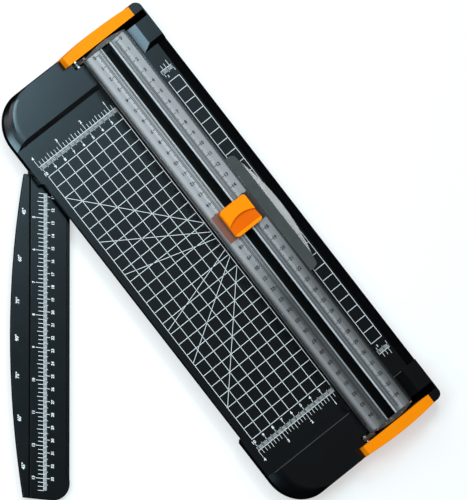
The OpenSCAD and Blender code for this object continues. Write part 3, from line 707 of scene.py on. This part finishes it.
columns = round((GRID_RIGHT - GRID_LEFT) / CM)
grid = grid_lines(GRID_LEFT, GRID_RIGHT, np.linspace(GRID_LEFT, GRID_RIGHT, columns + 1))
column = grid_lines(COLUMN_LEFT, COLUMN_RIGHT, (COLUMN_LEFT, COLUMN_RIGHT))
print_piece("grid_print", [strokes(grid + column, LINE_W)], DECK, white_ink, "base")
print_piece("fan_print", [strokes(fan_lines(), FAN_W)], DECK, white_ink, "base")

# %% [markdown]
# ## The scales at both ends of the deck
# A scale at each end counts the distance from the cutting line: centimetres towards the grid, and
# inches in eighths away from it. The numbers stand upright at both ends.

# %% End scales
SCALE_Y = 13.5 * CM
SPANS = ((-1, 20, 101), (1, 29, 40))      # side of the cutting line, first and last millimetre
MM_TICK, FIVE_TICK, TEN_TICK = 3.2 * MM, 4.0 * MM, 5.6 * MM
EIGHTH_RULES = ((8, 6.2 * MM), (4, 5.0 * MM), (1, 3.9 * MM))
BOLD_TICK_W = 0.8 * LINE_W
NUMBER_H, COLUMN_NUMBER_H = 2.7 * MM, 0.7 * 2.7 * MM
CM_NUMBER_OUT, INCH_NUMBER_OUT, COLUMN_NUMBER_OUT = 7.3 * MM, 7.9 * MM, 6.2 * MM
COLUMN_NUMBER_X = 3.2 * CM
CM_NUMBERS, INCH_NUMBERS = range(3, 11), range(1, 5)


def ticks(places, lengths, y, side):
    """Short strokes from the line at y towards one side."""
    return [((x, y), (x, y + side * length)) for x, length in zip(places, lengths)]


def tick_lengths(counts, rules):
    """The length of each tick: it comes from the first rule whose step divides the tick's count."""
    return np.select([counts % step == 0 for step, _ in rules], [length for _, length in rules])


def marked_span(sign, low, high, y, side):
    """The ticks of one stretch of an end scale: millimetres inwards, and eighths of an inch outwards."""
    mm = np.arange(low, high + 1)
    tens, fives = mm[mm % 10 == 0], mm[mm % 10 == 5]
    first, last = math.ceil(low * MM / INCH * 8), math.floor((high + 1) * MM / INCH * 8)
    eighths = np.arange(first, last + 1)
    lengths = tick_lengths(eighths, EIGHTH_RULES)
    return [
        strokes(ticks(sign * mm * MM, np.full(len(mm), MM_TICK), y, -side), FINE_W),
        strokes(ticks(sign * tens * MM, np.full(len(tens), TEN_TICK), y, -side), BOLD_TICK_W),
        strokes(ticks(sign * fives * MM, np.full(len(fives), FIVE_TICK), y, -side), BOLD_TICK_W),
        strokes(ticks(sign * eighths * INCH / 8, lengths, y, side), FINE_W),
    ]


def end_scale(side):
    """The scale at one end. side is 1 at the top end and -1 at the bottom end."""
    y = side * SCALE_Y
    frame_lines = [
        ((-INCH_NUMBERS[-1] * INCH, y), (GRID_RIGHT, y)),
        ((GRID_RIGHT, y), (GRID_RIGHT, side * GRID_HALF)),
        ((COLUMN_LEFT, y), (COLUMN_RIGHT, y)),
    ]
    parts = [strokes(frame_lines, LINE_W)]
    for sign, low, high in SPANS:
        parts += marked_span(sign, low, high, y, side)
    parts += [number_at(str(n), -n * CM, y - side * CM_NUMBER_OUT, NUMBER_H) for n in CM_NUMBERS]
    parts += [number_at(str(n), -n * INCH, y + side * INCH_NUMBER_OUT, NUMBER_H) for n in INCH_NUMBERS]
    parts += [number_at("3", COLUMN_NUMBER_X, y - side * COLUMN_NUMBER_OUT, COLUMN_NUMBER_H)]
    return parts


for side, end in ((1, "top"), (-1, "bottom")):
    print_piece(f"scale_print_{end}", end_scale(side), DECK, white_ink, "base")

# %% [markdown]
# A thin grey line runs along the upper edge of the near fence: a painted highlight on that edge. The rail
# covers the middle of it.

# %% Painted edge highlight
RAISED = Matrix.Translation((0, 0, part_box("base_shell")[1].z))
EDGE_HIGHLIGHT_Y, EDGE_HIGHLIGHT_W = -155.2 * MM, 0.35 * MM
EDGE_HIGHLIGHT_SPANS = ((-104 * MM, -24 * MM), (24 * MM, 33 * MM))
edge_highlight_segments = [((left, EDGE_HIGHLIGHT_Y), (right, EDGE_HIGHLIGHT_Y)) for left, right in EDGE_HIGHLIGHT_SPANS]
# Painted highlight: grey matt ink along the edge.
edge_highlight_grey = make_ink("edge_highlight_grey", grey(0.05), grey(0.09))
print_piece("painted_edge_highlight", [strokes(edge_highlight_segments, EDGE_HIGHLIGHT_W)], RAISED, edge_highlight_grey, "base")

# %% [markdown]
# ## The scale on the clear rail
# Both halves of the rail carry a black centimetre scale that starts at its top end. The left
# numbers are turned round, so that they can be read from the other side of the table.

# %% Rail print
RAIL = Matrix.Translation((0, 0, RAIL_Z))
RAIL_ZERO_Y, RAIL_LAST_Y = 174 * MM, -173 * MM
RAIL_NUMBER_H, RAIL_TICK_W = 3.0 * MM, 0.46 * MM
RAIL_RULES = ((10, 4.4 * MM), (5, 3.2 * MM), (1, 2.3 * MM))
LEFT_START, LEFT_NUMBER_X = 8.3 * MM, 14.0 * MM
RIGHT_START, RIGHT_NUMBER_X = 7.7 * MM, 13.9 * MM


def rail_scale(start, side, number_x, turn):
    """Millimetre, half-centimetre and centimetre strokes from start outwards, with numbers."""
    mm = np.arange(0, int(round((RAIL_ZERO_Y - RAIL_LAST_Y) / MM)) + 1)
    places = RAIL_ZERO_Y - mm * MM
    lines = [((side * start, y), (side * (start + length), y))
             for y, length in zip(places, tick_lengths(mm, RAIL_RULES))]
    numbers = [number_at(str(n), side * number_x, RAIL_ZERO_Y - n * CM, RAIL_NUMBER_H, turn)
               for n in range(mm[-1] // 10 + 1)]
    return [strokes(lines, RAIL_TICK_W)] + numbers


right_scale = rail_scale(RIGHT_START, 1, RIGHT_NUMBER_X, 0)
left_scale = rail_scale(LEFT_START, -1, LEFT_NUMBER_X, 180)
print_piece("rail_print_right", right_scale, RAIL, black_ink, "rail")
print_piece("rail_print_left", left_scale, RAIL, black_ink, "rail")

# %% [markdown]
# ## The carriage under the rail
# Beside the cap the carriage shows through the rail as two dull brown wings, and the haze of the
# rail would hide them. A thin film, which rides with the carriage just above the print, draws them.

# %% Wings of the carriage
wing_low, wing_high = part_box("carriage")
WING_START = 6 * MM
WING_LEVELS = (1.2 * FILM, 1.6 * FILM)
WING_CLOUD = 8 * MM
LIT_SHARE, SHADED_SHARE = 0.4, 0.8
LIT_BROWN, SHADED_BROWN = (0.20, 0.078, 0.052, 1), (0.040, 0.027, 0.020, 1)


def make_wing_brown():
    """Orange seen through clear plastic: pale on the left, in the shade on the right."""
    finish = Finish("wing_brown")
    shade = finish.along(0).smooth(LIT_SHARE * wing_low.x, SHADED_SHARE * wing_high.x)
    slow = finish.noise(WING_CLOUD, detail=2)
    return finish.principled(
        Base_Color=finish.mix(shade, LIT_BROWN, SHADED_BROWN),
        Roughness=0.3 + 0.1 * slow,
        Specular_IOR_Level=0.2,
    )


wing_mid, wing_w = (WING_START + wing_high.x) / 2, wing_high.x - WING_START
wing_lines = [((side * wing_mid, wing_low.y), (side * wing_mid, wing_high.y)) for side in (-1, 1)]
wing_points, wing_faces = strokes(wing_lines, wing_w)
wing_points[:, 2] = np.where(wing_points[:, 2] < 0, *WING_LEVELS)
print_piece("carriage_wings", [(wing_points, wing_faces)], RAIL, make_wing_brown(), "cutter")

# %% [markdown]
# ## The scale on the side ruler
# The ruler is drawn as it lies when it is stowed, along the cutting line, and then turned about its
# pivot to the pose of the picture. Its numbers give the distance from the cutting line when it
# stands square to the base. The bowed edge carries angles, one of which shows in the base's mouth.

# %% Ruler print
SWING = next(j for j in frame["joints"] if j["name"] == "ruler_swing")
PIVOT = Vector(SWING["pos_m"])
RULER_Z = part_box("side_ruler")[1].z
RULER = (Matrix.Translation((PIVOT.x, PIVOT.y, RULER_Z))
         @ Matrix.Rotation(math.radians(SWING["range_deg"][0]), 4, "Z"))
SCALE_X = -10.5 * MM
RULER_FROM, RULER_TO = 4.25 * INCH, 13.375 * INCH
RULER_LINE_W, RULER_NUMBER_H = 0.4 * MM, 2.4 * MM
RULER_CM_RULES = ((10, 5.0 * MM), (5, 3.4 * MM), (1, 2.6 * MM))
RULER_INCH_RULES = ((8, 6.4 * MM), (4, 5.4 * MM), (1, 4.4 * MM))
RULER_CM_OUT, RULER_INCH_OUT = 7.2 * MM, 8.2 * MM
ANGLE_OFFSETS = {90: 0, 75: 29.2 * MM, 60: 62.3 * MM, 45: 99.4 * MM}
ANGLE_MIDDLE_Y, ANGLE_H = -133.9 * MM, 3.0 * MM
BOW_X, BOW_SAG, BOW_HALF = -32.2 * MM, 5.4 * MM, 99.4 * MM


def ruler_scale():
    """Centimetres on the side of the straight edge, inches in eighths on the side of the bow."""

    def at(distance):
        return -PIVOT.x - distance

    def counts(unit):
        return np.arange(math.ceil(RULER_FROM / unit), math.floor(RULER_TO / unit) + 1)

    mm, eighths = counts(MM), counts(INCH / 8)
    cm_ticks = zip(mm * MM, tick_lengths(mm, RULER_CM_RULES))
    inch_ticks = zip(eighths * INCH / 8, tick_lengths(eighths, RULER_INCH_RULES))
    parts = [
        strokes([((SCALE_X, at(RULER_FROM)), (SCALE_X, at(RULER_TO)))], FINE_W),
        strokes([((SCALE_X, at(d)), (SCALE_X + w, at(d))) for d, w in cm_ticks], RULER_LINE_W),
        strokes([((SCALE_X, at(d)), (SCALE_X - w, at(d))) for d, w in inch_ticks], RULER_LINE_W),
    ]
    for n in counts(CM):
        parts.append(number_at(str(n), SCALE_X + RULER_CM_OUT, at(n * CM), RULER_NUMBER_H, 90))
    for n in counts(INCH):
        parts.append(number_at(str(n), SCALE_X - RULER_INCH_OUT, at(n * INCH), RULER_NUMBER_H, 90))
    for degrees, out in ANGLE_OFFSETS.items():
        for offset in sorted({-out, out}):
            x = BOW_X + BOW_SAG * (offset / BOW_HALF) ** 2
            parts.append(number_at(f"{degrees}°", x, ANGLE_MIDDLE_Y + offset, ANGLE_H, 90))
    return parts


print_piece("ruler_print", ruler_scale(), RULER, white_ink, "ruler")

# %% [markdown]
# ## Floor, background and lamps
# The floor is pale and matt. For the camera it is mixed with plain white, so that the background
# comes out white while the soft shadow still shows, and far from the cutter it is white altogether.
# The world is white for the camera and for what is seen through clear plastic, and dim for
# everything that mirrors it: black plastic only looks black where it mirrors something dark. For
# the same reason the floor is dark in reflections.

# %% Floor and world
WHITE_SHARE = 0.52
AMBIENT, MIRRORED_AMBIENT = 0.34, 0.02
PAINT, MIRRORED_PAINT = (1.0, 0.95, 0.92, 1), 0.008
FLOOR_HALF, WHITE_FROM, WHITE_TO = 40.0, 0.5, 1.3


def make_floor():
    """A pale floor. The camera sees it nearly white, and from below it can be looked through."""
    mesh = bpy.data.meshes.new("floor")
    corners = [(x * FLOOR_HALF, y * FLOOR_HALF, 0) for x, y in ((-1, -1), (1, -1), (1, 1), (-1, 1))]
    mesh.from_pydata(corners, [], [(0, 1, 2, 3)])
    floor = bpy.data.objects.new("floor", mesh)
    scene.collection.objects.link(floor)
    finish = Finish("floor")
    paint_colour = finish.mix(finish.ray("Is Glossy Ray"), PAINT, grey(MIRRORED_PAINT))
    paint = finish.node("ShaderNodeBsdfDiffuse", {}, {"Color": paint_colour})
    white = finish.node("ShaderNodeEmission", {}, {"Color": grey(1.0), "Strength": 1.0})
    away = finish.place.length().smooth(WHITE_FROM, WHITE_TO)
    share = finish.seen() * (WHITE_SHARE + (1 - WHITE_SHARE) * away)
    surface = finish.node("ShaderNodeMixShader", {}, {0: share, 1: paint, 2: white})
    clear = finish.node("ShaderNodeBsdfTransparent")
    back = finish.node("ShaderNodeNewGeometry", out="Backfacing")
    finish.show(finish.node("ShaderNodeMixShader", {}, {0: back, 1: surface, 2: clear}))
    mesh.materials.append(finish.material)
    return floor


def make_world():
    """White where it is looked at, an even grey as light, and dim where it is mirrored."""
    world = bpy.data.worlds.new("studio")
    scene.world = world
    sky = Graph(world, "ShaderNodeOutputWorld")
    mirrored_share = (MIRRORED_AMBIENT - AMBIENT) * sky.ray("Is Glossy Ray")
    strength = AMBIENT + (1 - AMBIENT) * sky.seen() + mirrored_share
    sky.show(sky.node("ShaderNodeBackground", {}, {"Color": grey(1.0), "Strength": strength}))


make_floor()
make_world()

# %% [markdown]
# ## The lamps
# A lamp's brightness is given as the white that it would show to the camera, and the watts follow
# from its area. The main lamp stands beyond the top end and throws the shadow forwards. The others
# are cards: each is placed where a chosen patch of the cutter mirrors it into the camera. The ray
# from the camera to a corner of the patch is mirrored there, and the card's corner lies on it.
# A lean turns the mirroring face to the left, so that a card can serve a slope.

# %% Lamps
def set_lamp(name, middle, across, upward, size, brightness, colour):
    """A rectangular lamp with a middle, two directions and a size, facing -(across x upward)."""
    data = bpy.data.lights.new(name, "AREA")
    data.shape = "RECTANGLE"
    data.size, data.size_y = size
    data.energy, data.color = math.pi * size[0] * size[1] * brightness, colour
    lamp = bpy.data.objects.new(name, data)
    scene.collection.objects.link(lamp)
    facing = across.cross(upward).normalized()
    upward = facing.cross(across).normalized()
    lamp.location = middle
    lamp.rotation_mode = "QUATERNION"
    lamp.rotation_quaternion = Matrix((across.normalized(), upward, facing)).transposed().to_quaternion()
    print(name, [round(v, 2) for v in middle], "size", [round(v, 2) for v in size], "m")
    return lamp


def soft_lamp(name, direction, away, size, brightness, colour):
    """A lamp that looks at the origin from a direction."""
    facing = Vector(direction).normalized()
    across = Vector((0, 0, 1)).cross(facing).normalized()
    return set_lamp(name, facing * away, across, facing.cross(across), size, brightness, colour)


def mirrored(spot, lean_deg, away):
    """Where the camera's ray goes when a face at spot, leaning to the left, mirrors it."""
    lean = math.radians(lean_deg)
    normal = Vector((-math.sin(lean), 0, math.cos(lean)))
    to_camera = (camera.location - spot).normalized()
    return spot + (2 * normal.dot(to_camera) * normal - to_camera) * away


def card(name, patch, z, lean_deg, away, brightness, colour):
    """A lamp that a patch of the cutter mirrors. patch is its left, right, bottom and top."""
    left, right, bottom, top = patch
    corner = {}
    for x in (left, right):
        for y in (bottom, top):
            corner[x, y] = mirrored(Vector((x, y, z)), lean_deg, away)
    middle = sum(corner.values(), Vector()) / 4
    across = (corner[right, bottom] + corner[right, top] - corner[left, bottom] - corner[left, top]) / 2
    upward = (corner[left, top] + corner[right, top] - corner[left, bottom] - corner[right, bottom]) / 2
    facing = (middle - Vector(((left + right) / 2, (bottom + top) / 2, z))).normalized()
    across_flat = across - across.dot(facing) * facing
    size = (across_flat.length, upward.length)
    if across_flat.cross(upward).dot(facing) < 0:
        across_flat = -across_flat
    return set_lamp(name, middle, across_flat, facing.cross(across_flat), size, brightness, colour)


SKY, COOL, WARM = (0.60, 0.88, 1.0), (0.95, 0.98, 1.0), (1.0, 0.99, 0.97)
NEAR_BY, FARTHER = 0.9, 1.2
# Name: patch in metres, its height, its lean in degrees, the card's distance, brightness and colour.
CARDS = {
    "corner": ((-0.33, -0.07, 0.21, 0.47), DECK_Z, 0, NEAR_BY, 15.5, SKY),
    "far_edge": ((-0.02, 0.12, 0.14, 0.30), DECK_Z, 0, NEAR_BY, 1.9, SKY),
    "near": ((-0.16, 0.06, -0.24, 0.12), DECK_Z, 0, FARTHER, 0.25, WARM),
    "overhead": ((-0.32, 0.12, 0.12, 0.40), DECK_Z, 13, FARTHER, 3.5, SKY),
    "slopes": ((-0.30, 0.22, 0.04, 0.42), DECK_Z, 32, FARTHER, 14.0, SKY),
    "lip": ((-0.06, 0.13, -0.08, 0.16), RAIL_Z, 43, FARTHER, 17.5, COOL),
    "rail_far": ((-0.026, 0.026, 0.030, 0.185), RAIL_Z, 0, FARTHER, 1.3, COOL),
    "rail_near": ((-0.026, -0.002, -0.033, 0.0), RAIL_Z, 0, FARTHER, 1.3, COOL),
}
soft_lamp("main", (-0.1, 0.75, 0.66), 1.4, (1.1, 0.8), 2.6, WARM)
for name, settings in CARDS.items():
    card(name, *settings)
scene.view_settings.view_transform = "Standard"
